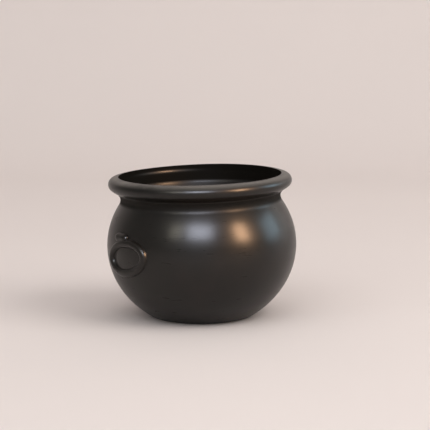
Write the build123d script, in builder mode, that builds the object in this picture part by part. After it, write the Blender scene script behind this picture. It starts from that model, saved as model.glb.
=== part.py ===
"""A burnished black clay pot, built in courses of clay lapped one over the next.

Origin at the centre of the foot, +Z up, +X out through the right hand ring.
The wall leans a little and the foot is cut level, so the rim slopes.
"""
import os
from math import acos, asin, cos, degrees, radians, sin, sqrt

from build123d import *

# Body: a flattened ball turned about an axis that leans.
belly_radius = 100.0
belly_half_height = 88.2
wall_thickness = 5.8
lean = 1.6
lean_heading = 140.0

# Foot and floor.
foot_radius = 53.2
floor_thickness = 7.0
foot_edge_radius = 8.0
slab_plug_radius = 30.0
slab_flange_width = 10.0
slab_flange_thickness = 3.5
floor_margin = 4.0

# Neck, measured from the belly, and rim, measured from the neck.
neck_radius = 84.4
neck_curve_radius = 7.5
crease_run = 1.9
crease_rise = 6.2
throat_wall = 5.2
throat_drop = 1.8
lip_reach = 12.4
lip_radius = 7.0
lip_underside_slope = 33.0
crest_rise = 7.9
mouth_flare = 0.8
mouth_lip_drop = 5.5
ledge_drop = 7.0
ledge_width = 0.9
collar_drop = 18.5
collar_taper = 1.5

# Laps between one course of clay and the next.
lap_rise = 6.0
bowl_lap_drop = 15.8
belly_lap_rise = 20.2
shoulder_lap_drop = 4.5
collar_lap_drop = 9.0
collar_tongue = 3.4
collar_tongue_rise = 4.5

# Ring reliefs and the barrel lugs they hang from, one pair each side.
ring_height = 70.2
ring_half_width = 27.5
ring_half_height = 15.4
ring_band = 8.0
ring_proud = 3.8
ring_tilt = 11.0
ring_edge_radius = 2.8
lug_above_ring = 4.8
lug_aside = 8.0
lug_length = 22.0
lug_radius = 5.2
lug_edge_radius = 2.4
lug_sunk = 1.0

# The leaning frame stands on the middle of the belly.
belly_centre_height = belly_half_height * sqrt(1 - (foot_radius / belly_radius) ** 2)
lean_direction = (
    sin(radians(lean)) * cos(radians(lean_heading)),
    sin(radians(lean)) * sin(radians(lean_heading)),
    cos(radians(lean)),
)
belly_middle = (0, 0, belly_centre_height)
lean_frame = Plane(origin=belly_middle, x_dir=(1, 0, 0), z_dir=lean_direction)
profile = Plane(origin=belly_middle, x_dir=lean_frame.x_dir, z_dir=-lean_frame.y_dir)
lean_axis = Axis(belly_middle, lean_direction)


def up(height):
    """A height above the table, as a distance up the leaning axis."""
    return height - belly_centre_height


def belly_at(rise, inset=0.0):
    """Radius of the belly, or of a surface inset from it, at a rise above its middle."""
    return (belly_radius - inset) * sqrt(1 - (rise / (belly_half_height - inset)) ** 2)


def underside(centre, radius):
    """The point where the straight underside of the lip leaves an arc."""
    return (centre[0] + radius * sin(slope), centre[1] - radius * cos(slope))


# The belly runs into the neck, and two arcs joined by a straight underside make neck and lip.
outer_end = degrees(acos((neck_radius + crease_run) / belly_radius))
crease_up = belly_half_height * sin(radians(outer_end))
neck_up = crease_up + crease_rise
slope = radians(lip_underside_slope)
lip_centre_radius = neck_radius + lip_reach - lip_radius
neck_centre_radius = neck_radius + neck_curve_radius
arcs_apart = lip_radius + neck_curve_radius - sin(slope) * (neck_centre_radius - lip_centre_radius)
lip_centre = (lip_centre_radius, neck_up + arcs_apart / cos(slope))
crest_up = lip_centre[1] + crest_rise
mouth_radius = neck_radius + mouth_flare

# Points of the wall's section, as radius and rise above the middle of the belly.
neck = (neck_radius, neck_up)
neck_top = underside((neck_centre_radius, neck_up), -neck_curve_radius)
lip_under = underside(lip_centre, lip_radius)
lip_top = (lip_centre[0], lip_centre[1] + lip_radius)
crest = (mouth_radius, crest_up)
lip_inside = (mouth_radius, crest_up - mouth_lip_drop)
ledge = (mouth_radius - ledge_width, crest_up - ledge_drop)
collar = (ledge[0] - collar_taper, crest_up - collar_drop)
throat = (neck_radius - throat_wall, neck_up - throat_drop)
inner_radius = belly_radius - wall_thickness
inner_end = degrees(acos(throat[0] / inner_radius))
floor_up = up(floor_thickness)
floor_flat_radius = slab_plug_radius + floor_margin

# Half section of the whole wall, from the middle of the floor to the lip.
with BuildSketch(profile) as wall:
    with BuildLine():
        outside = EllipticalCenterArc(
            (0, 0), belly_radius, belly_half_height, -90, arc_size=90 + outer_end
        )
        TangentArc(neck, outside @ 1, tangent=(0, -1))
        TangentArc(neck, neck_top, tangent=(0, 1))
        Line(neck_top, lip_under)
        ThreePointArc(lip_under, (neck_radius + lip_reach, lip_centre[1]), lip_top)
        Polyline(lip_top, crest, lip_inside, ledge, collar)
        TangentArc(collar, throat, tangent=(-collar_taper, ledge_drop - collar_drop))
        inside_high = EllipticalCenterArc(
            (0, 0), inner_radius, belly_half_height - wall_thickness, 0, arc_size=inner_end
        )
        Line(throat, inside_high @ 1)
        inside_low = EllipticalCenterArc(
            (floor_flat_radius, 0), inner_radius - floor_flat_radius, -floor_up, -90, arc_size=90
        )
        Polyline(inside_low @ 0, (0, floor_up), outside @ 0)
    make_face()


def lap(rise):
    """The two corners of the step between two courses, low outside and high inside."""
    low = belly_at(rise, wall_thickness / 2)
    high = min(low, belly_at(rise + lap_rise, wall_thickness / 2))
    return [(low, rise), (high, rise + lap_rise)]


def course(lower, upper):
    """Turn the part of the wall that lies between two stepped joints."""
    beyond = belly_radius * 1.5
    bottom = [(0, -beyond), (beyond, -beyond)]
    top = [(beyond, beyond), (0, beyond)]
    if lower:
        bottom = [(0, lower[1][1]), lower[1], lower[0], (beyond, lower[0][1])]
    if upper:
        top = [(beyond, upper[0][1]), upper[0], upper[1], (0, upper[1][1])]
    with BuildSketch(profile) as section:
        add(wall.sketch_local)
        with BuildLine():
            Polyline(*bottom, *top, close=True)
        make_face(mode=Mode.INTERSECT)
    revolve(section.sketch, axis=lean_axis)


bowl_lap = lap(-bowl_lap_drop)
belly_lap = lap(belly_lap_rise)
shoulder_lap = lap(crease_up - shoulder_lap_drop)
collar_lap_up = lip_centre[1] - collar_lap_drop
tongue_radius = collar[0] + collar_tongue
collar_lap = [
    (tongue_radius, collar_lap_up),
    (tongue_radius, collar_lap_up + collar_tongue_rise),
]

# The space over the flat of the floor, which trims the top of the slab's plug.
with BuildPart() as over_floor:
    with BuildSketch(profile):
        with BuildLine():
            floor_end = (floor_flat_radius, floor_up)
            Polyline((0, floor_up), floor_end, (floor_flat_radius, 0), (0, 0), close=True)
        make_face()
    revolve(axis=lean_axis)

with BuildPart() as floor_slab:
    with BuildSketch(Plane.XY):
        Circle(slab_plug_radius + slab_flange_width)
    extrude(amount=slab_flange_thickness)
    with BuildSketch(Plane.XY):
        Circle(slab_plug_radius)
    extrude(amount=floor_thickness + slab_flange_thickness)
    add(over_floor.part, mode=Mode.SUBTRACT)

with BuildPart() as lower_bowl:
    course(None, bowl_lap)
    with BuildSketch(Plane.XY):
        Rectangle(belly_radius * 3, belly_radius * 3)
    extrude(amount=-belly_radius, mode=Mode.SUBTRACT)
    foot_edge = lower_bowl.edges().group_by(Axis.Z)[0].sort_by(SortBy.LENGTH)[-1]
    fillet(foot_edge, radius=foot_edge_radius)
    add(floor_slab.part, mode=Mode.SUBTRACT)

with BuildPart() as belly_band:
    course(bowl_lap, belly_lap)

with BuildPart() as shoulder_band:
    course(belly_lap, shoulder_lap)

with BuildPart() as neck_collar:
    course(shoulder_lap, collar_lap)

with BuildPart() as rim_roll:
    course(collar_lap, None)


def belly_shell(grown, mode=Mode.ADD):
    """The filled form of the belly, or the same form grown outwards."""
    with BuildSketch(profile) as half_form:
        with BuildLine():
            half = EllipticalCenterArc(
                (0, 0), belly_radius + grown, belly_half_height + grown, -90, arc_size=180
            )
            Line(half @ 0, half @ 1)
        make_face()
    revolve(half_form.sketch, axis=lean_axis, mode=mode)


with BuildPart() as belly_form:
    belly_shell(0)


def oval_cord(side):
    """An oval cord of clay that follows the belly at one side, square edged and cut deep."""
    ring_plane = Plane(origin=(0, 0, ring_height), x_dir=(0, side, 0), z_dir=(side, 0, 0))
    half_band = ring_band / 2
    outer = (ring_half_width + half_band, ring_half_height + half_band)
    inner = (ring_half_width - half_band, ring_half_height - half_band)
    with BuildSketch(ring_plane) as oval:
        Ellipse(*outer, rotation=-side * ring_tilt)
        Ellipse(*inner, rotation=-side * ring_tilt, mode=Mode.SUBTRACT)
    extrude(oval.sketch, amount=belly_radius * 1.3)
    belly_shell(ring_proud, mode=Mode.INTERSECT)


def barrel_lug(side, ring):
    """A short barrel laid over a ring, a little to one side, and worked on to the belly."""
    lug_height = ring_height + ring_half_height + lug_above_ring
    rise = up(lug_height) - side * belly_radius * lean_frame.x_dir.Z
    radius = belly_at(rise) - lug_sunk
    turned = asin(lug_aside / belly_radius)
    seat = Vector(side * radius * cos(turned), radius * sin(turned), rise)
    along = Vector(-side * sin(turned), cos(turned), 0)
    end = lean_frame.from_local_coords(seat) - along * (lug_length / 2)
    with BuildSketch(Plane(origin=end, z_dir=along)) as barrel_end:
        Circle(lug_radius)
    barrel = extrude(barrel_end.sketch, amount=lug_length)
    fillet(barrel.edges().filter_by(GeomType.CIRCLE), radius=lug_edge_radius)
    add(belly_form.part, mode=Mode.SUBTRACT)
    add(ring.part, mode=Mode.SUBTRACT)


with BuildPart() as left_ring:
    oval_cord(-1)
    fillet(left_ring.edges().filter_by(GeomType.BSPLINE), radius=ring_edge_radius)
    add(belly_form.part, mode=Mode.SUBTRACT)

with BuildPart() as left_lug:
    barrel_lug(-1, left_ring)

with BuildPart() as right_ring:
    oval_cord(1)
    fillet(right_ring.edges().filter_by(GeomType.BSPLINE), radius=ring_edge_radius)
    add(belly_form.part, mode=Mode.SUBTRACT)

with BuildPart() as right_lug:
    barrel_lug(1, right_ring)

pieces = {
    "floor_slab": floor_slab,
    "lower_bowl": lower_bowl,
    "belly_band": belly_band,
    "shoulder_band": shoulder_band,
    "neck_collar": neck_collar,
    "rim_roll": rim_roll,
    "left_ring": left_ring,
    "left_lug": left_lug,
    "right_ring": right_ring,
    "right_lug": right_lug,
}

os.makedirs("parts", exist_ok=True)
for name, piece in pieces.items():
    piece.part.label = name
    export_step(piece.part, f"parts/{name}.step")
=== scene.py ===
# %% [markdown]
# A black clay pot of the kind made by hand in southern Mexico.
# The potter pats a slab of clay for the floor, builds the wall on it in courses, pinches the neck,
# rolls the lip, presses on a ring and a lug at each side, burnishes it all with a stone and fires it
# in smoke. This lesson makes those same pieces, one by one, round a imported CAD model.
# The first cell loads that model. Its box is kept, so that the finished pot can be compared with it.

# %% Load the frame
import math

import bmesh
import bpy
import numpy as np
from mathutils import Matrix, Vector


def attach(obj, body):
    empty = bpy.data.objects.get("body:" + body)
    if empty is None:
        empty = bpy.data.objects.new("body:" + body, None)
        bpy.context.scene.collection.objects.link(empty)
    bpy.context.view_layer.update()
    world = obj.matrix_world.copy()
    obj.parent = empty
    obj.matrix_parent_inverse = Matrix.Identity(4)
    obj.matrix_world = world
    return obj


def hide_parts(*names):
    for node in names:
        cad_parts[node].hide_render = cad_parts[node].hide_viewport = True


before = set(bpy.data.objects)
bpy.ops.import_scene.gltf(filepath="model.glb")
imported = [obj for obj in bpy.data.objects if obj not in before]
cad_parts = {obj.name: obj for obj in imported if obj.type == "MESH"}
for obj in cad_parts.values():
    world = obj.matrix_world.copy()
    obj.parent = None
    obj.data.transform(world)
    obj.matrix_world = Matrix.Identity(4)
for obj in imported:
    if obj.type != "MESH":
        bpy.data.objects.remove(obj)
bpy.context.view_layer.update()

# %% [markdown]
# The body of the pot is a flattened ball turned about an axis that leans a little, because a pot built
# by hand is never quite upright. The potter then rubs the foot level. So everything that is turned
# lives in a leaning frame whose centre is the middle of the belly, and only the foot lives in the level
# one. The frame is three directions and a centre. Sizes are in millimetres, as a potter would say them,
# and one function turns a radius, a height and an angle round the pot into a point in metres.

# %% The leaning frame
MM = 0.001
ROUND = 432  # points round the pot

belly_radius, belly_half_height, foot_radius = 100.0, 88.2, 53.2
belly_middle = belly_half_height * math.sqrt(1 - (foot_radius / belly_radius) ** 2)
lean, lean_heading = math.radians(1.6), math.radians(140.0)

lean_up = np.array([
    math.sin(lean) * math.cos(lean_heading),
    math.sin(lean) * math.sin(lean_heading),
    math.cos(lean),
])
lean_x = np.array([1.0, 0.0, 0.0]) - lean_up[0] * lean_up
lean_x /= np.linalg.norm(lean_x)
lean_y = np.cross(lean_up, lean_x)
turn = np.linspace(0, 2 * math.pi, ROUND, endpoint=False)


def placed(reach, rise, angle=turn):
    """Points in metres, from a radius, a height above the middle of the belly and an angle."""
    reach, rise, angle = np.broadcast_arrays(reach, rise, angle)
    local = (
        np.multiply.outer(reach * np.cos(angle), lean_x)
        + np.multiply.outer(reach * np.sin(angle), lean_y)
        + np.multiply.outer(rise, lean_up)
    )
    return (local + np.array([0, 0, belly_middle])) * MM


print("lean of the wall:", round(math.degrees(lean), 2), "degrees")

# %% [markdown]
# The wall is drawn once as a single line, the way a potter's rib would feel it: up the outside of the
# belly, into the neck, out under the lip, over the roll, down the step inside the mouth and down the
# inside to the floor. A line can be turned by a Screw modifier too, but then each course would shade as
# a separate thing. Here all courses are cut from one line, so their shading runs on from one to the
# next. First come the sizes, with the heights of neck and lip worked out from each other.

# %% Sizes of the wall
neck_radius, neck_curve = 84.4, 7.5
crease_run, crease_rise = 1.9, 6.2
lip_reach, lip_radius, slope = 12.4, 7.0, math.radians(33)
crest_rise, mouth_flare, mouth_lip_drop = 7.9, 0.8, 5.5
ledge_drop, ledge_width, collar_drop, collar_taper = 7.0, 0.9, 18.5, 1.5
throat_wall, throat_drop = 5.2, 1.8
wall, floor_flat, floor_thickness = 5.8, 34.0, 7.0

mouth_radius = neck_radius + mouth_flare
ledge_radius = mouth_radius - ledge_width
collar_radius, throat_radius = ledge_radius - collar_taper, neck_radius - throat_wall
belly_end = math.degrees(math.acos((neck_radius + crease_run) / belly_radius))
crease_up = belly_half_height * math.sin(math.radians(belly_end))
neck_up = crease_up + crease_rise
neck_middle, lip_middle = neck_radius + neck_curve, neck_radius + lip_reach - lip_radius
arcs_apart = lip_radius + neck_curve - math.sin(slope) * (neck_middle - lip_middle)
lip_up = neck_up + arcs_apart / math.cos(slope)
rim_up = lip_up + crest_rise
collar_up, floor_up = rim_up - collar_drop, floor_thickness - belly_middle
print("neck and rim above the table, in mm:", [round(up + belly_middle, 1) for up in (neck_up, rim_up)])

# %% [markdown]
# The line itself is made of parts of ellipses, arcs that leave one point in a known direction to reach
# another, and a few straight runs.

# %% The line of the wall
def arc(centre, across, tall, start, end, count=160):
    """Points along part of an ellipse, with its angles in degrees."""
    t = np.radians(np.linspace(start, end, count))
    return np.stack([centre[0] + across * np.cos(t), centre[1] + tall * np.sin(t)], 1)


def swept(start, way, end, count=40):
    """Points of the arc that leaves the start in a given direction and reaches the end."""
    start, way, end = np.array(start), np.array(way) / np.hypot(*way), np.array(end)
    chord = end - start
    across = np.array([-way[1], way[0]])
    across = across * np.sign(chord @ across)
    radius = (chord @ chord) / (2 * chord @ across)
    turned_by = np.linspace(0, 2 * math.asin(np.hypot(*chord) / (2 * radius)), count)
    return start + radius * (np.outer(1 - np.cos(turned_by), across) + np.outer(np.sin(turned_by), way))


neck, belly_top = (neck_radius, neck_up), (neck_radius + crease_run, crease_up)
collar, throat = (collar_radius, collar_up), (throat_radius, neck_up - throat_drop)
down_collar = (-collar_taper, ledge_drop - collar_drop)
inside_end = math.degrees(math.acos(throat_radius / (belly_radius - wall)))
slope_end = math.degrees(slope)

line = np.concatenate([
    arc((0, 0), belly_radius, belly_half_height, -62, belly_end, 700),
    swept(neck, (0, -1), belly_top)[-2::-1],
    arc((neck_middle, neck_up), neck_curve, neck_curve, 180, 90 + slope_end)[1:],
    arc((lip_middle, lip_up), lip_radius, lip_radius, slope_end - 90, 90),
    [(mouth_radius, rim_up), (mouth_radius, rim_up - mouth_lip_drop), (ledge_radius, rim_up - ledge_drop)],
    swept(collar, down_collar, throat),
    arc((0, 0), belly_radius - wall, belly_half_height - wall, inside_end, 0, 300),
    arc((floor_flat, 0), belly_radius - wall - floor_flat, -floor_up, 0, -90, 300)[1:],
])

# %% [markdown]
# Wet fingers leave no sharp corner. The line is spaced out evenly and then each point is averaged with its
# neighbours, so that every corner is rounded by the same small amount. A Bevel modifier could do it too,
# but it would need each corner to be picked out.

# %% Soften the corners
STEP = 0.2  # mm between points of the line
SOFTNESS = 0.8  # mm that a corner is smoothed over


def evenly(points, step):
    """The same line with its points a fixed step apart."""
    along = np.concatenate([[0], np.cumsum(np.linalg.norm(np.diff(points, axis=0), axis=1))])
    where = np.arange(0, along[-1], step)
    return np.stack([np.interp(where, along, points[:, i]) for i in (0, 1)], 1)


def softened(points, step, reach):
    """The line after a running average, which rounds its corners."""
    half = int(4 * reach / step)
    weight = np.exp(-0.5 * (np.arange(-half, half + 1) * step / reach) ** 2)
    weight /= weight.sum()
    padded = np.concatenate([
        2 * points[0] - points[half:0:-1],
        points,
        2 * points[-1] - points[-2:-half - 2:-1],
    ])
    return np.stack([np.convolve(padded[:, i], weight, "valid") for i in (0, 1)], 1)


line = softened(evenly(line, STEP), STEP, SOFTNESS)
top = int(np.argmax(line[:, 1]))
heading = np.unwrap(np.arctan2(*np.gradient(line, axis=0).T[::-1]))
print("wall line:", round(len(line) * STEP), "mm long, rim at", round(line[top, 1] + belly_middle, 1), "mm")

# %% [markdown]
# A wall made by hand is not a true circle. A few slow waves round the pot move it in and out, the rim dips
# a little between its high places, and the step inside the mouth is crisp on one side and smeared out
# round the rest. All of this only ever takes clay away, so that the pot stays inside its CAD box.

# %% A wall made by hand
# each swing: size in mm, waves round the pot, start of the wave, drift with height
WALL_SWINGS = ((0.22, 2, 0.7, 0), (0.13, 3, 2.1, 1 / 60), (0.07, 7, 0, 1 / 22), (0.05, 11, 0, -1 / 15))
RIM_SWINGS = ((0.28, 2, 1.2, 0), (0.2, 3, 0.3, 0))
crisp_step, crisp_width, step_depth = math.radians(80), 0.5, 0.7


def swung(swings, angle, up=0.0):
    """The sum of some swings, shifted so that it is never above 0."""
    waves = sum(size * np.sin(count * angle + start + up * drift) for size, count, start, drift in swings)
    return waves - sum(size for size, *_ in swings)


def ramp(value, start, run):
    """0 up to the start, 1 after the run, and straight between."""
    return np.clip((value - start) / run, 0, 1)


def round_from(angle, middle):
    """The way round from a middle to an angle, between minus and plus half a turn."""
    return np.angle(np.exp(1j * (angle - middle)))


def step_inside(radius, up, angle):
    """How much clay fills the step inside the mouth away from its crisp side, in mm."""
    filled = step_depth * (1 - np.exp(-(round_from(angle, crisp_step) / crisp_width) ** 2))
    below_step = ramp(rim_up - up, 5.2, 2.2)
    return filled * below_step * ramp(up, neck_up, 8) * (radius < mouth_radius + 1)


def turned(radius, up, angle=turn):
    """Points of the hand made wall in metres, from a point of its line."""
    reach = radius + swung(WALL_SWINGS, angle, up) * ramp(radius, 40, 30)
    rise = up + swung(RIM_SWINGS, angle) * ramp(up, 50, 30)
    return placed(reach + step_inside(radius, up, angle), rise, angle)


print("the wall moves in by up to", round(-swung(WALL_SWINGS, turn).min(), 2), "mm")

# %% [markdown]
# A mesh needs few rows where the line is straight and many where it bends, so rows are picked by how far
# the line has run or turned since the last one. Each row is turned into a ring of points, and the
# normals come from the shape itself. Set as custom normals they let a burnished surface of modest
# size shine as smoothly as a real one, with no facets in the highlights.

# %% Rows and rings
LONGEST_ROW, SHORTEST_ROW, MOST_BEND = 2.0, 0.3, math.radians(4)
SMALL_TURN = 0.004


def index_at(up, inside):
    """Where the line crosses a height above the belly's middle, on its outside or inside."""
    side = line[top:, 1] if inside else line[:top, 1]
    return int(np.argmin(np.abs(side - up))) + (top if inside else 0)


def rows_between(first, last):
    """Indices along the line, closer together where it bends."""
    picked, since = [first], first
    for i in range(first + 1, last):
        if (i - since) * STEP > LONGEST_ROW or abs(heading[i] - heading[since]) > MOST_BEND:
            picked.append(i)
            since = i
    if len(picked) > 1 and (last - picked[-1]) * STEP < SHORTEST_ROW:
        picked.pop()
    return picked + [last]


def unit(vectors):
    return vectors / np.linalg.norm(vectors, axis=-1, keepdims=True)


def ring_at(i):
    """One ring of wall points and the outward normals there."""
    before, after = line[max(i - 2, 0)], line[min(i + 2, len(line) - 1)]
    along = turned(*after) - turned(*before)
    round_it = turned(*line[i], turn + SMALL_TURN) - turned(*line[i], turn - SMALL_TURN)
    return turned(*line[i]), unit(np.cross(round_it, along))


def wall_rings(first, last):
    return [(*ring_at(i), True) for i in rows_between(first, last)]


def hidden_ring(radius, up):
    """A ring inside the wall, where two courses meet."""
    return placed(radius, up), None, False


# %% [markdown]
# Rings become a mesh by joining each to the next with a belt of four sided faces. A belt is smooth when both
# its rings know their normals, and flat where it is a cut through the clay. A disc needs a hub as well,
# a fan of triangles round one point. The faces run so that they all look outwards.

# %% From rings to a mesh
def belt(a, b):
    """The faces between two rings, given by their places in the list."""
    ahead_of = [(j + 1) % ROUND for j in range(ROUND)]
    return [(a * ROUND + j, a * ROUND + n, b * ROUND + n, b * ROUND + j) for j, n in enumerate(ahead_of)]


def belt_normals(lower, upper):
    """A normal for each corner of each face between two rings."""
    if lower[2] and upper[1] is not None:
        low, high = lower[1], upper[1]
        corners = [low, np.roll(low, -1, 0), np.roll(high, -1, 0), high]
    else:
        points = lower[0]
        flat = unit(np.cross(np.roll(points, -1, 0) - points, upper[0] - points) + 1e-12)
        corners = [flat] * 4
    return np.stack(corners, 1).reshape(-1, 3)


def ring_piece(name, rings, closed=True, hubs=()):
    """A mesh from rings of points; each is (points, normals, smooth to the next ring)."""
    points = np.concatenate([ring[0] for ring in rings])
    faces, normals = [], []
    for a in range(len(rings) if closed else len(rings) - 1):
        b = (a + 1) % len(rings)
        faces += belt(a, b)
        normals.append(belt_normals(rings[a], rings[b]))
    for ring, centre, downward in hubs:
        middle = len(points)
        points = np.concatenate([points, [centre]])
        for j in range(ROUND):
            face = (ring * ROUND + j, ring * ROUND + (j + 1) % ROUND, middle)
            faces.append(face[::-1] if downward else face)
        normals.append(np.tile([0, 0, -1.0 if downward else 1.0], (3 * ROUND, 1)))
    mesh = bpy.data.meshes.new(name)
    mesh.from_pydata([tuple(p) for p in points], [], faces)
    mesh.shade_smooth()
    mesh.normals_split_custom_set(np.concatenate(normals))
    piece = bpy.data.objects.new(name, mesh)
    bpy.context.collection.objects.link(piece)
    print(f"{name}: {len(points)} points, {len(faces)} faces")
    return piece


# %% [markdown]
# Courses of clay are lapped: each one has a tongue that stands up inside the course above. On the real pot
# the laps are smeared shut and burnished over, so nothing of them shows. They are made all the same, so
# that every course is a whole closed piece that could be lifted out of the stack.

# %% Lap joints
lap_rise, collar_tongue, collar_tongue_rise = 6.0, 3.4, 4.5


def middle_of_wall(up):
    """Radius half way through the wall, at a height above the middle of the belly."""
    return (belly_radius - wall / 2) * math.sqrt(1 - (up / (belly_half_height - wall / 2)) ** 2)


def lap(up):
    """A stepped joint: (radius, height) at its low outer end and its high inner end."""
    low = middle_of_wall(up)
    return (low, up), (min(low, middle_of_wall(up + lap_rise)), up + lap_rise)


bowl_lap, belly_lap, shoulder_lap = lap(-15.8), lap(20.2), lap(crease_up - 4.5)
tongue_radius, collar_lap_up = collar_radius + collar_tongue, lip_up - 9.0
collar_lap = (tongue_radius, collar_lap_up), (tongue_radius, collar_lap_up + collar_tongue_rise)
print("laps above the table, in mm:", [
    round(joint[0][1] + belly_middle, 1) for joint in (bowl_lap, belly_lap, shoulder_lap, collar_lap)
])

# %% [markdown]
# Each course runs up its outside, over its top lap, down its inside and back along its bottom lap. The rim
# has no lap over it: its outside simply rolls over the lip and on to the inside.

# %% The four upper courses
def course(name, lower, upper):
    """A course of the wall between two lap joints."""
    if upper:
        outside = wall_rings(index_at(lower[0][1], False), index_at(upper[0][1], False))
        inside = wall_rings(index_at(upper[1][1], True), index_at(lower[1][1], True))
        over = [hidden_ring(*upper[0]), hidden_ring(*upper[1])]
        outside[-1] = (*outside[-1][:2], False)
    else:
        outside = wall_rings(index_at(lower[0][1], False), index_at(lower[1][1], True))
        inside, over = [], []
    rings = outside + over + inside
    rings[-1] = (*rings[-1][:2], False)
    rings += [hidden_ring(*lower[1]), hidden_ring(*lower[0])]
    return ring_piece(name, rings)


belly_band = course("belly_band", bowl_lap, belly_lap)
shoulder_band = course("shoulder_band", belly_lap, shoulder_lap)
neck_collar = course("neck_collar", shoulder_lap, collar_lap)
rim_roll = course("rim_roll", collar_lap, None)

# %% [markdown]
# The lowest course meets the table. The wall leans but the foot is level, so the first ring is not at one
# height up the leaning axis: for each direction the angle on the belly is found, by halving a range
# again and again, so that the ring lies level just above the table.

# %% Where the foot begins
foot_round = 8.0
foot_slope = math.atan(foot_radius / belly_middle * (belly_half_height / belly_radius) ** 2)
foot_top = foot_round * (1 - math.cos(foot_slope))


def level_angle(height):
    """Angle on the belly's ellipse, for each direction, where the wall is at a level height."""
    low, high = np.full(ROUND, -80.0), np.full(ROUND, -20.0)
    for _ in range(40):
        mid = (low + high) / 2
        t = np.radians(mid)
        at = turned(belly_radius * np.cos(t), belly_half_height * np.sin(t))
        above = at[:, 2] > height * MM
        low, high = np.where(above, low, mid), np.where(above, mid, high)
    return np.radians((low + high) / 2)


start_angle = level_angle(foot_top)
end_angle = math.asin(bowl_lap[0][1] / belly_half_height)
print("the foot's edge is", round(foot_top, 2), "mm high")

# %% [markdown]
# The bowl's outside then runs from that ring to its lap. Under it a small round edge goes down to the flat
# ring that the pot stands on. Inside, the wall runs down to the floor, and a step takes the floor slab.

# %% Lower bowl
BOWL_ROWS, EDGE_ROWS = 42, 5
plug_radius, slab_radius, flange = 30.0, 40.0, 3.5


def bowl_ring(share):
    """A ring of the bowl's outside, from the foot at 0 to the lap at 1."""
    def at(angle_up, angle=turn):
        return turned(belly_radius * np.cos(angle_up), belly_half_height * np.sin(angle_up), angle)
    t = start_angle + (end_angle - start_angle) * share
    along = at(t + 0.003) - at(t - 0.003)
    round_it = at(t, turn + SMALL_TURN) - at(t, turn - SMALL_TURN)
    return at(t), unit(np.cross(round_it, along)), True


def edge_ring(start, outward, share):
    """A ring of the foot's round edge, from the table at 0 to the wall at 1."""
    tip = foot_slope * share
    points = start + outward * foot_round * (math.sin(tip) - math.sin(foot_slope)) * MM
    points[:, 2] = foot_round * (1 - math.cos(tip)) * MM
    return points, unit(outward * math.sin(tip) - np.array([0, 0, math.cos(tip)])), True


def level_ring(radius, height):
    """A level ring about the middle of the foot."""
    circle = np.stack([np.cos(turn) * radius, np.sin(turn) * radius, np.zeros(ROUND) + height], 1)
    return circle * MM, None, False


def floor_height(radius):
    """Height of the leaning floor inside the pot, for each direction, at a level radius."""
    across = radius * (np.cos(turn) * lean_up[0] + np.sin(turn) * lean_up[1])
    return belly_middle + (floor_up - across) / lean_up[2]


foot_line = bowl_ring(0.0)[0]
outward = unit(foot_line * np.array([1, 1, 0]))
bowl_rings = [edge_ring(foot_line, outward, k / EDGE_ROWS) for k in range(EDGE_ROWS)]
bowl_rings += [bowl_ring(k / BOWL_ROWS) for k in range(BOWL_ROWS)]
bowl_rings.append((*ring_at(index_at(bowl_lap[0][1], False)), False))
inside = wall_rings(index_at(bowl_lap[1][1], True), len(line) - 1)
inside = [ring for ring in inside if np.linalg.norm(ring[0][0][:2]) > (plug_radius + 1) * MM]
inside[-1] = (*inside[-1][:2], False)
bowl_rings += [hidden_ring(*bowl_lap[0]), hidden_ring(*bowl_lap[1])] + inside
bowl_rings += [
    level_ring(plug_radius, floor_height(plug_radius)),
    level_ring(plug_radius, flange),
    level_ring(slab_radius, flange),
    level_ring(slab_radius, 0.0),
]
lower_bowl = ring_piece("lower_bowl", bowl_rings)

# %% [markdown]
# The floor slab is a patted disc with a flange. Its underside is worn slightly hollow, as a disc dried on a
# flat board is, and its lower edge is broken. Its top is the flat of the leaning floor.

# %% Floor slab
hollow_depth, hollow_radius, broken_run, broken_rise = 0.5, 36, 0.8, 0.6


def under_slab(radius):
    """Height of the slab's underside above the table."""
    return hollow_depth * (1 - (radius / hollow_radius) ** 2) ** 2 if radius < hollow_radius else 0.0


slab_rings = [level_ring(r, under_slab(r)) for r in (2, 6, 12, 18, 24, 30, 36, slab_radius - broken_run)]
slab_rings += [
    level_ring(slab_radius, broken_rise),
    level_ring(slab_radius, flange),
    level_ring(plug_radius, flange),
]
slab_rings += [level_ring(r, floor_height(r)) for r in (plug_radius, 29, 22, 12, 2)]
floor_slab = ring_piece("floor_slab", slab_rings, closed=False, hubs=[
    (0, (0, 0, hollow_depth * MM), True),
    (len(slab_rings) - 1, (0, 0, (belly_middle + floor_up) * MM), False),
])

# %% [markdown]
# The ring and its lug are rolled from soft clay and pressed on. A torus would stand off the round belly,
# so the ring is a cord whose middle line is an oval drawn on the belly itself. For that, one function
# gives the belly's surface and its normal at any distance round from one side and at any height.

# %% On the belly
def on_belly(side, across, height):
    """Points of the outside of the belly and their normals, from lists of places."""
    angle = across / belly_radius if side > 0 else math.pi - across / belly_radius
    tilt = belly_radius * (np.cos(angle) * lean_x[2] + np.sin(angle) * lean_y[2])
    up = height - belly_middle - tilt

    def at(angle, up):
        level = belly_radius * np.sqrt(1 - (up / belly_half_height) ** 2)
        return placed(level + swung(WALL_SWINGS, angle, up), up, angle)

    round_it = at(angle + 0.01, up) - at(angle - 0.01, up)
    return at(angle, up), unit(np.cross(round_it, at(angle, up + 1) - at(angle, up - 1)))


def smooth_piece(name, points, faces):
    """A smooth shaded mesh with a Subdivision Surface and outward faces."""
    mesh = bpy.data.meshes.new(name)
    mesh.from_pydata([tuple(p) for p in points], [], faces)
    shape = bmesh.new()
    shape.from_mesh(mesh)
    bmesh.ops.recalc_face_normals(shape, faces=shape.faces)
    shape.to_mesh(mesh)
    shape.free()
    mesh.shade_smooth()
    piece = bpy.data.objects.new(name, mesh)
    bpy.context.collection.objects.link(piece)
    soft_clay = piece.modifiers.new("soft clay", "SUBSURF")
    soft_clay.levels = soft_clay.render_levels = 1
    print(f"{name}: {len(points)} points before it is subdivided")
    return piece


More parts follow.
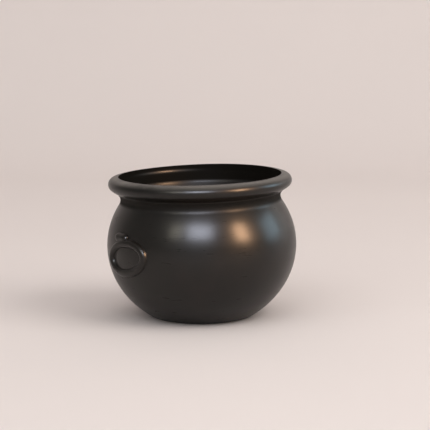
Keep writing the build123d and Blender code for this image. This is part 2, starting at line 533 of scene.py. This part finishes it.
# %% [markdown]
# The cord's section is round on its back and spreads at its edges, where a thumb smeared it on to the wall.
# It is set up from the belly along the normal at each place of the oval, and the oval itself is tilted a
# little and not quite true.

# %% Rings
CORD_STEPS = 144
ring_up, ring_across, ring_tall, ring_tilt = 70.2, 27.5, 15.4, math.radians(11)
cord_half, cord_proud, cord_sunk = 4.0, 3.6, 0.8


def cord_section():
    """Half width and height of a pressed cord, from its outer foot over its back to its inner foot."""
    t = np.linspace(0, math.pi, 19)
    back = np.stack([cord_half * np.cos(t), cord_proud * np.sin(t) ** 0.9], 1)[2:-2]
    smear = np.array([[cord_half + 0.7, -0.12], [cord_half + 0.35, 0.1], [cord_half + 0.08, 0.5]])
    under = np.array([[-cord_half * 0.9, -cord_sunk], [cord_half * 0.9, -cord_sunk]])
    return np.concatenate([smear, back, smear[::-1] * np.array([-1, 1]), under])


def ring_relief(name, side):
    section = cord_section()
    t = np.linspace(0, 2 * math.pi, CORD_STEPS, endpoint=False)
    wobble = 0.14 * np.sin(2 * t + 1.0) + 0.1 * np.sin(5 * t)
    swell = 1 + 0.03 * np.sin(3 * t)
    # the way out from the oval's middle, at right angles to its line
    way = unit(np.stack([np.cos(t) / ring_across, np.sin(t) / ring_tall], 1))
    strands = []
    for across, proud in section:
        level = ring_across * np.cos(t) + way[:, 0] * (across + wobble)
        tall = ring_tall * np.sin(t) + way[:, 1] * (across + wobble)
        round_it = level * math.cos(ring_tilt) + tall * math.sin(ring_tilt)
        height = ring_up + tall * math.cos(ring_tilt) - level * math.sin(ring_tilt)
        base, normal = on_belly(side, round_it, height)
        strands.append(base + normal * (proud * swell)[:, None] * MM)
    points = np.stack(strands, 1).reshape(-1, 3)
    m = len(section)
    faces = []
    for a in range(CORD_STEPS):
        b = (a + 1) % CORD_STEPS
        faces += [(a * m + k, a * m + (k + 1) % m, b * m + (k + 1) % m, b * m + k) for k in range(m)]
    return smooth_piece(name, points, faces)


left_ring, right_ring = ring_relief("left_ring", -1), ring_relief("right_ring", 1)

# %% [markdown]
# The lug is a short barrel with rounded ends that sits across the top of the ring. It is made of a row of
# circles whose size falls away quickly at both ends, and it is sunk a little into the belly.

# %% Lugs
LUG_STEPS, LUG_ROWS = 28, 15
lug_up, lug_aside, lug_half, lug_round, lug_sunk = 90.4, 8.0, 10.8, 4.9, 1.0
lug_taller, lug_waist, lug_tip = 0.3, 0.06, 0.05


def barrel_lug(name, side):
    """A short barrel with round ends, laid level on the belly."""
    middle, normal = (found[0] for found in on_belly(side, np.array([lug_aside]), np.array([lug_up])))
    middle = middle - normal * lug_sunk * MM
    along = unit(np.cross(normal, lean_up))
    upward = np.cross(along, normal)
    a = np.linspace(0, 2 * math.pi, LUG_STEPS, endpoint=False)
    circle = np.outer(np.cos(a), normal) * lug_round + np.outer(np.sin(a), upward) * (lug_round + lug_taller)
    rows = []
    for place in -np.cos(np.linspace(0, math.pi, LUG_ROWS)):
        fat = max(1 - abs(place) ** 5, 0) ** 0.5 * (1 - lug_waist * (1 - place ** 2))
        rows.append(middle + (along * place * lug_half + circle * max(fat, lug_tip)) * MM)
    faces = []
    for r in range(LUG_ROWS - 1):
        low, high = r * LUG_STEPS, (r + 1) * LUG_STEPS
        for k in range(LUG_STEPS):
            n = (k + 1) % LUG_STEPS
            faces.append((low + k, low + n, high + n, high + k))
    last = (LUG_ROWS - 1) * LUG_STEPS
    faces += [tuple(range(LUG_STEPS)), tuple(range(last, last + LUG_STEPS))]
    return smooth_piece(name, np.concatenate(rows), faces)


left_lug, right_lug = barrel_lug("left_lug", -1), barrel_lug("right_lug", 1)

# %% [markdown]
# Every piece is now tied to the CAD model: it rides on the pot's one body, and the CAD node of the same
# name is hidden so that the piece takes its place. Materials are given further down, where only the slab
# under the foot is left rough.

# %% Tie the pieces to the CAD
pieces = {
    "floor_slab": floor_slab, "lower_bowl": lower_bowl, "belly_band": belly_band,
    "shoulder_band": shoulder_band, "neck_collar": neck_collar, "rim_roll": rim_roll,
    "left_ring": left_ring, "left_lug": left_lug, "right_ring": right_ring, "right_lug": right_lug,
}
for name, piece in pieces.items():
    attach(piece, "root")
    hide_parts(name)
print("pieces:", len(pieces))

# %% [markdown]
# A material is easiest to read as arithmetic. This small class wraps one output socket of a node tree,
# so that adding or multiplying two of them adds the Math node that does it. Every other node comes from
# one function, which sets the node's own settings first and then its sockets. Colours are mixed with a
# Mix node, because a Math node would turn them grey.

# %% A way to write shader maths
class Wire:
    """An output socket that can be used in a sum."""

    def __init__(self, tree, socket):
        self.tree, self.socket = tree, socket

    def maths(self, operation, *values):
        return node(self.tree, "ShaderNodeMath", {"operation": operation}, *values)

    def __add__(self, other):
        return self.maths("ADD", self, other)

    def __mul__(self, other):
        return self.maths("MULTIPLY", self, other)

    def __sub__(self, other):
        return self.maths("SUBTRACT", self, other)

    def __rsub__(self, other):
        return self.maths("SUBTRACT", other, self)

    __radd__, __rmul__ = __add__, __mul__

    def step(self, low, high):
        """0 below low, 1 above high and a smooth rise between."""
        return node(self.tree, "ShaderNodeMapRange", {"interpolation_type": "SMOOTHSTEP"}, self, low, high)


def node(tree, kind, settings, *values, out=0, **named):
    """Adds a node: its settings first, then its sockets by order or by name."""
    made = tree.nodes.new(kind)
    for key, value in settings.items():
        setattr(made, key, value)
    by_name = [(made.inputs[key.replace("_", " ")], value) for key, value in named.items()]
    for socket, value in [*zip(made.inputs, values), *by_name]:
        if isinstance(value, Wire):
            tree.links.new(value.socket, socket)
        elif value is not None:
            socket.default_value = value
    return Wire(tree, made.outputs[out])


def mixed(tree, share, a, b):
    """A colour between two colours."""
    a, b = (colour if isinstance(colour, Wire) else (*colour, 1) for colour in (a, b))
    unused = [None] * 5  # the node's sockets for numbers and vectors
    return node(tree, "ShaderNodeMix", {"data_type": "RGBA"}, share, *unused, a, b, out=2)


def noise(tree, place, **named):
    return node(tree, "ShaderNodeTexNoise", {}, place, **named)


def mark(tree, name):
    """A number that each point of the mesh carries."""
    return node(tree, "ShaderNodeAttribute", {"attribute_name": name}, out=2)


def new_material(name):
    """An empty material, its node tree and the place on the object in metres."""
    material = bpy.data.materials.new(name)
    material.use_nodes = True
    tree = material.node_tree
    tree.nodes.clear()
    return material, tree, node(tree, "ShaderNodeTexCoord", {}, out=3)


def finish_material(material, surface):
    output = surface.tree.nodes.new("ShaderNodeOutputMaterial")
    surface.tree.links.new(surface.socket, output.inputs["Surface"])
    print(material.name, "has", len(surface.tree.nodes), "nodes")


# %% [markdown]
# Black clay gets its colour from smoke and its shine from a quartz stone rubbed over it when it is half
# dry. It is not a glaze: the shine is soft, it is broken into the strokes of the stone, it has a few pits
# where a grain of sand was dragged out, and its black leans to brown and olive where the smoke was
# thin. The strokes run round the pot, so the noise that makes them is squeezed along its height.
# A real shine has a clear core in a wide haze, so two glossy surfaces are mixed, one rougher than the
# other. Where the points are marked dull, a near black matt surface takes the place of the shine. Inside
# below the neck it stands for unburnished clay in shade; in the recess under the lip and on the upright wall
# inside the mouth it is painted shade. On top of the lip the black is painted lighter, a painted sheen for
# the pale wall that the lip reflects, and the clay there is a little rougher, as if rubbed by hands.

# %% Burnished clay
def burnished_clay():
    material, tree, place = new_material("burnished_clay")
    strokes_at = node(tree, "ShaderNodeMapping", {}, place, Scale=(16, 16, 150))
    strokes = noise(tree, strokes_at, Scale=1.0, Detail=3.0, Roughness=0.55)
    fine_at = node(tree, "ShaderNodeMapping", {}, place, Scale=(60, 60, 700), Rotation=(0.05, 0.03, 0))
    fine = noise(tree, fine_at, Scale=1.0, Detail=2.0)
    cloud = noise(tree, place, Scale=14.0, Detail=4.0, Roughness=0.6)
    smoke = noise(tree, place, Scale=5.0, Detail=2.0)
    grain = noise(tree, place, Scale=900.0, Detail=2.0)
    few = noise(tree, place, Scale=210.0, Detail=0.0)
    cells = node(tree, "ShaderNodeTexVoronoi", {"feature": "F1"}, place, Scale=150.0, Randomness=1.0)
    pit = (1 - cells.step(0.05, 0.16)) * few.step(0.66, 0.72)
    # These marks carry painted light: dull clay that is also painted shade, and a painted sheen on top of
    # the lip.
    dull_and_shade, wear_and_sheen = mark(tree, "dull_and_shade"), mark(tree, "wear_and_sheen")

    olive = mixed(tree, smoke.step(0.38, 0.66), (0.0062, 0.0048, 0.0030), (0.0036, 0.0031, 0.0024))
    brown = mixed(tree, cloud.step(0.42, 0.72), olive, (0.0092, 0.0062, 0.0046))
    pitted = mixed(tree, pit * 0.7, brown, (0.030, 0.026, 0.021))
    # Painted sheen: the top of the lip is painted a lighter grey for the pale wall it reflects.
    with_sheen = mixed(tree, wear_and_sheen * cloud.step(0.2, 0.6), pitted, (0.105, 0.097, 0.087))
    colour = mixed(tree, dull_and_shade * 0.6, with_sheen, (0.030, 0.027, 0.023))

    rough = 0.215 + (strokes + cloud + fine) * 0.05 + pit * 0.2 + dull_and_shade * 0.3 + wear_and_sheen * 0.12
    height = strokes * 0.3 + fine * 0.05 + grain * (0.06 + dull_and_shade * 0.6) - pit * 0.8
    relief = node(tree, "ShaderNodeBump", {}, Strength=0.3, Distance=0.00003, Height=height)

    def glossy(roughness, bend):
        return node(
            tree, "ShaderNodeBsdfPrincipled", {},
            Base_Color=colour, Roughness=roughness, Normal=relief, IOR=bend,
        )

    shine = node(tree, "ShaderNodeMixShader", {}, 0.3, glossy(rough, 1.43), glossy(rough + 0.25, 1.4))
    # Painted shade: near black matt clay in place of the shine, for the unburnished inside and the shaded
    # recess and mouth.
    matt_and_shade = node(tree, "ShaderNodeBsdfDiffuse", {}, Color=(0.008, 0.0066, 0.005, 1), Roughness=0.6)
    finish_material(material, node(tree, "ShaderNodeMixShader", {}, dull_and_shade * 0.93, shine, matt_and_shade))
    return material


# %% [markdown]
# The face under the foot is never burnished. It dries on a sanded board, so it is matt, gritty and paler,
# with a few spots rubbed lighter still by the shelf.

# %% Rough clay
def rough_clay():
    material, tree, place = new_material("rough_clay")
    grit = noise(tree, place, Scale=520.0, Detail=5.0, Roughness=0.7)
    patch = noise(tree, place, Scale=40.0, Detail=4.0)
    spots = noise(tree, place, Scale=95.0, Detail=3.0)
    dark = mixed(tree, patch.step(0.35, 0.7), (0.018, 0.016, 0.0135), (0.036, 0.032, 0.027))
    colour = mixed(tree, spots.step(0.58, 0.74) * 0.5, dark, (0.07, 0.062, 0.052))
    relief = node(
        tree, "ShaderNodeBump", {}, Strength=0.7, Distance=0.0005, Height=grit * 0.8 + patch * 0.4,
    )
    finish_material(material, node(
        tree, "ShaderNodeBsdfPrincipled", {},
        Base_Color=colour, Roughness=0.72 + grit * 0.14, Normal=relief,
    ))
    return material


burnished, rough = burnished_clay(), rough_clay()
for name, piece in pieces.items():
    piece.data.materials.append(rough if name == "floor_slab" else burnished)

# %% [markdown]
# The marks for dull clay and for the top of the lip are numbers on the points of each mesh, which the
# material reads with an Attribute node. They could be painted by hand. Here they follow from where a point
# lies: dull inside below the neck, where shade falls as well; painted shade in the recess under the lip and
# on the upright wall inside the mouth but for one stroke of the stone along the step; and a painted sheen,
# with slightly rougher clay, on top of the lip.

# %% Mark the dull clay, the painted shade and the painted sheen
stroke_heading, stroke_width, stroke_drop, stroke_tall = math.radians(78), 0.3, 6.3, 1.2
# How far the recess under the lip is dulled: painted shade under the lip.
recess_shade = 0.75


def points_of(piece):
    """Radius, height and angle of each point in the leaning frame, in mm."""
    co = np.empty(len(piece.data.vertices) * 3)
    piece.data.vertices.foreach_get("co", co)
    local = co.reshape(-1, 3) / MM - np.array([0, 0, belly_middle])
    x, y = local @ lean_x, local @ lean_y
    return np.hypot(x, y), local @ lean_up, np.arctan2(y, x)


# Dull clay and painted shade: the inside below the neck, the recess under the lip and the wall inside the
# mouth.
def dullness_and_shade(reach, up, angle):
    outside = np.interp(up, line[:top, 1], line[:top, 0])
    inside = ramp(outside - reach, wall * 0.5, 1.0)
    below_neck = inside * ramp(neck_up - up, 2, 8)
    recess = recess_shade * ramp(up, neck_up - 5.5, 3) * ramp(neck_up - up, -7, 3) * (1 - inside)
    upright = (reach < mouth_radius + 0.3) * ramp(up, collar_up - 0.5, 2)
    stroke = np.exp(-(round_from(angle, stroke_heading) / stroke_width) ** 2)
    stroke = stroke * np.exp(-((up - rim_up + stroke_drop) / stroke_tall) ** 2)
    return np.maximum(np.maximum(below_neck, recess), upright * (1 - stroke))


def write_mark(piece, name, values):
    piece.data.attributes.new(name, "FLOAT", "POINT").data.foreach_set("value", values)


for piece in (lower_bowl, belly_band, shoulder_band, neck_collar, rim_roll):
    reach, up, angle = points_of(piece)
    # Dull clay, with painted shade in the recess under the lip and inside the mouth.
    write_mark(piece, "dull_and_shade", dullness_and_shade(reach, up, angle))
    # The top of the lip gets a painted sheen and slightly rougher clay.
    write_mark(piece, "wear_and_sheen", ramp(up, lip_up + 3, 3) * ramp(reach, mouth_radius + 0.5, 1.5))
    print(piece.name, "mean dullness", round(float(dullness_and_shade(reach, up, angle).mean()), 2))

# %% [markdown]
# The pot stands in a plain pale room set: one sheet that is the floor and, far behind the pot, curves up
# into the wall. A dark glossy pot shows its surroundings more than its own colour, so the set matters
# as much as the lamps: the pale wall draws the bright edges of the belly.

# %% Floor and backdrop
camera_heading = math.radians(-38.5)
ahead = Vector((-math.sin(camera_heading), math.cos(camera_heading), 0))
rightward = Vector((math.cos(camera_heading), math.sin(camera_heading), 0))
upward = Vector((0, 0, 1))
half_width, front, back, bend, tall = 3.2, -2.6, 1.7, 0.6, 4.2
below_foot = 0.0002  # metres, so that the foot and the floor are never in one plane


def backdrop():
    """A floor that sweeps up into a wall behind the pot, as seen by the camera."""
    curve = np.linspace(0, math.pi / 2, 24)
    side_line = [(front, 0.0)]
    side_line += [(back - bend + bend * math.sin(a), bend - bend * math.cos(a)) for a in curve]
    side_line.append((back, tall))
    points = [
        ahead * depth + rightward * side + upward * (height - below_foot)
        for depth, height in side_line for side in (-half_width, half_width)
    ]
    faces = [(2 * k, 2 * k + 1, 2 * k + 3, 2 * k + 2) for k in range(len(side_line) - 1)]
    mesh = bpy.data.meshes.new("backdrop")
    mesh.from_pydata([tuple(p) for p in points], [], faces)
    mesh.shade_smooth()
    sheet = bpy.data.objects.new("backdrop", mesh)
    bpy.context.collection.objects.link(sheet)
    return sheet


def pale_paper():
    material, tree, place = new_material("pale_paper")
    tone = noise(tree, place, Scale=3.0, Detail=2.0)
    colour = mixed(tree, tone, (0.785, 0.72, 0.70), (0.805, 0.74, 0.715))
    finish_material(material, node(
        tree, "ShaderNodeBsdfPrincipled", {}, Base_Color=colour, Roughness=0.9, Specular_IOR_Level=0.1,
    ))
    return material


backdrop().data.materials.append(pale_paper())

# %% [markdown]
# Each lamp is placed by the direction it comes from, as seen from the pot: how far round from the camera
# and how high. A lamp can do two jobs, show as a highlight or light the set, and one lamp seldom does
# both well on a black pot. So the jobs are shared out. The highlight lamps are seen only in reflections:
# a cool window behind the camera with a faint lamp to its left, a small warm lamp and a cool one to the
# right, and a wide card that draws the right edge of the belly. They are kept off the paper, which they
# would burn out. The soft lamps, overhead, key and fill, light the paper and cast the soft shadow under
# the pot, and are kept out of reflections.

# %% Lamps
aim = upward * 0.08


def lamp(name, round_to_right, height, distance, size, power, colour, soft=False):
    """An area lamp turned to the pot; angles are in degrees from the camera's side."""
    turn_by, rise = math.radians(round_to_right), math.radians(height)
    level = rightward * math.sin(turn_by) - ahead * math.cos(turn_by)
    way = level * math.cos(rise) + upward * math.sin(rise)
    data = bpy.data.lights.new(name, "AREA")
    data.shape, data.size, data.size_y = "RECTANGLE", *size
    data.energy, data.color = power, colour
    piece = bpy.data.objects.new(name, data)
    piece.location = aim + way * distance
    piece.rotation_mode = "QUATERNION"
    piece.rotation_quaternion = way.to_track_quat("Z", "Y")
    piece.visible_glossy, piece.visible_diffuse = not soft, soft
    bpy.context.collection.objects.link(piece)
    print(f"{name}: {power} W, {'soft light' if soft else 'highlight'}")


lamp("window", -1.5, 32.5, 2.6, (1.15, 0.9), 74.0, (0.82, 0.86, 1.0))
lamp("warm_lamp", 53.0, 25.0, 2.2, (0.54, 0.86), 66.0, (1.0, 0.60, 0.35))
lamp("cool_edge", 99.0, 18.0, 2.2, (0.9, 0.9), 14.0, (0.58, 0.84, 1.0))
lamp("faint_left", -32.0, 31.0, 2.4, (0.6, 0.8), 10.0, (1.0, 0.94, 0.76))
lamp("side_card", 125.0, 6.0, 2.4, (2.2, 2.2), 12.5, (1.0, 0.93, 0.87))
lamp("overhead", 20.0, 75.0, 2.6, (4.0, 4.0), 32.0, (1.0, 0.97, 0.95), soft=True)
lamp("key", 62.0, 38.0, 2.8, (2.1, 2.1), 38.0, (1.0, 0.97, 0.94), soft=True)
lamp("fill", -30.0, 32.0, 2.8, (3.2, 3.2), 29.0, (0.97, 0.98, 1.0), soft=True)

world = bpy.data.worlds.new("room")
world.use_nodes = True
world.node_tree.nodes["Background"].inputs["Color"].default_value = (1.0, 0.95, 0.90, 1)
world.node_tree.nodes["Background"].inputs["Strength"].default_value = 0.25
bpy.context.scene.world = world
bpy.context.scene.view_settings.view_transform = "Standard"

# %% [markdown]
# The camera stands well back with a long lens, a little above the rim, so that the mouth shows as a thin
# ellipse and the sides of the pot stay nearly parallel.

# %% Camera
camera_back, camera_up, camera_right, camera_tilt = 1.882, 0.397, 0.0139, math.radians(8.77)
lens = bpy.data.cameras.new("camera")
lens.lens, lens.sensor_width, lens.shift_y = 151.9, 36.0, -0.002326
lens.clip_start, lens.clip_end = 0.05, 30
camera = bpy.data.objects.new("camera", lens)
camera.location = -ahead * camera_back + rightward * camera_right + upward * camera_up
look = ahead * math.cos(camera_tilt) - upward * math.sin(camera_tilt)
camera.rotation_mode = "QUATERNION"
camera.rotation_quaternion = look.to_track_quat("-Z", "Y")
bpy.context.collection.objects.link(camera)
bpy.context.scene.camera = camera
print("camera", round(camera_back, 2), "m from the pot")
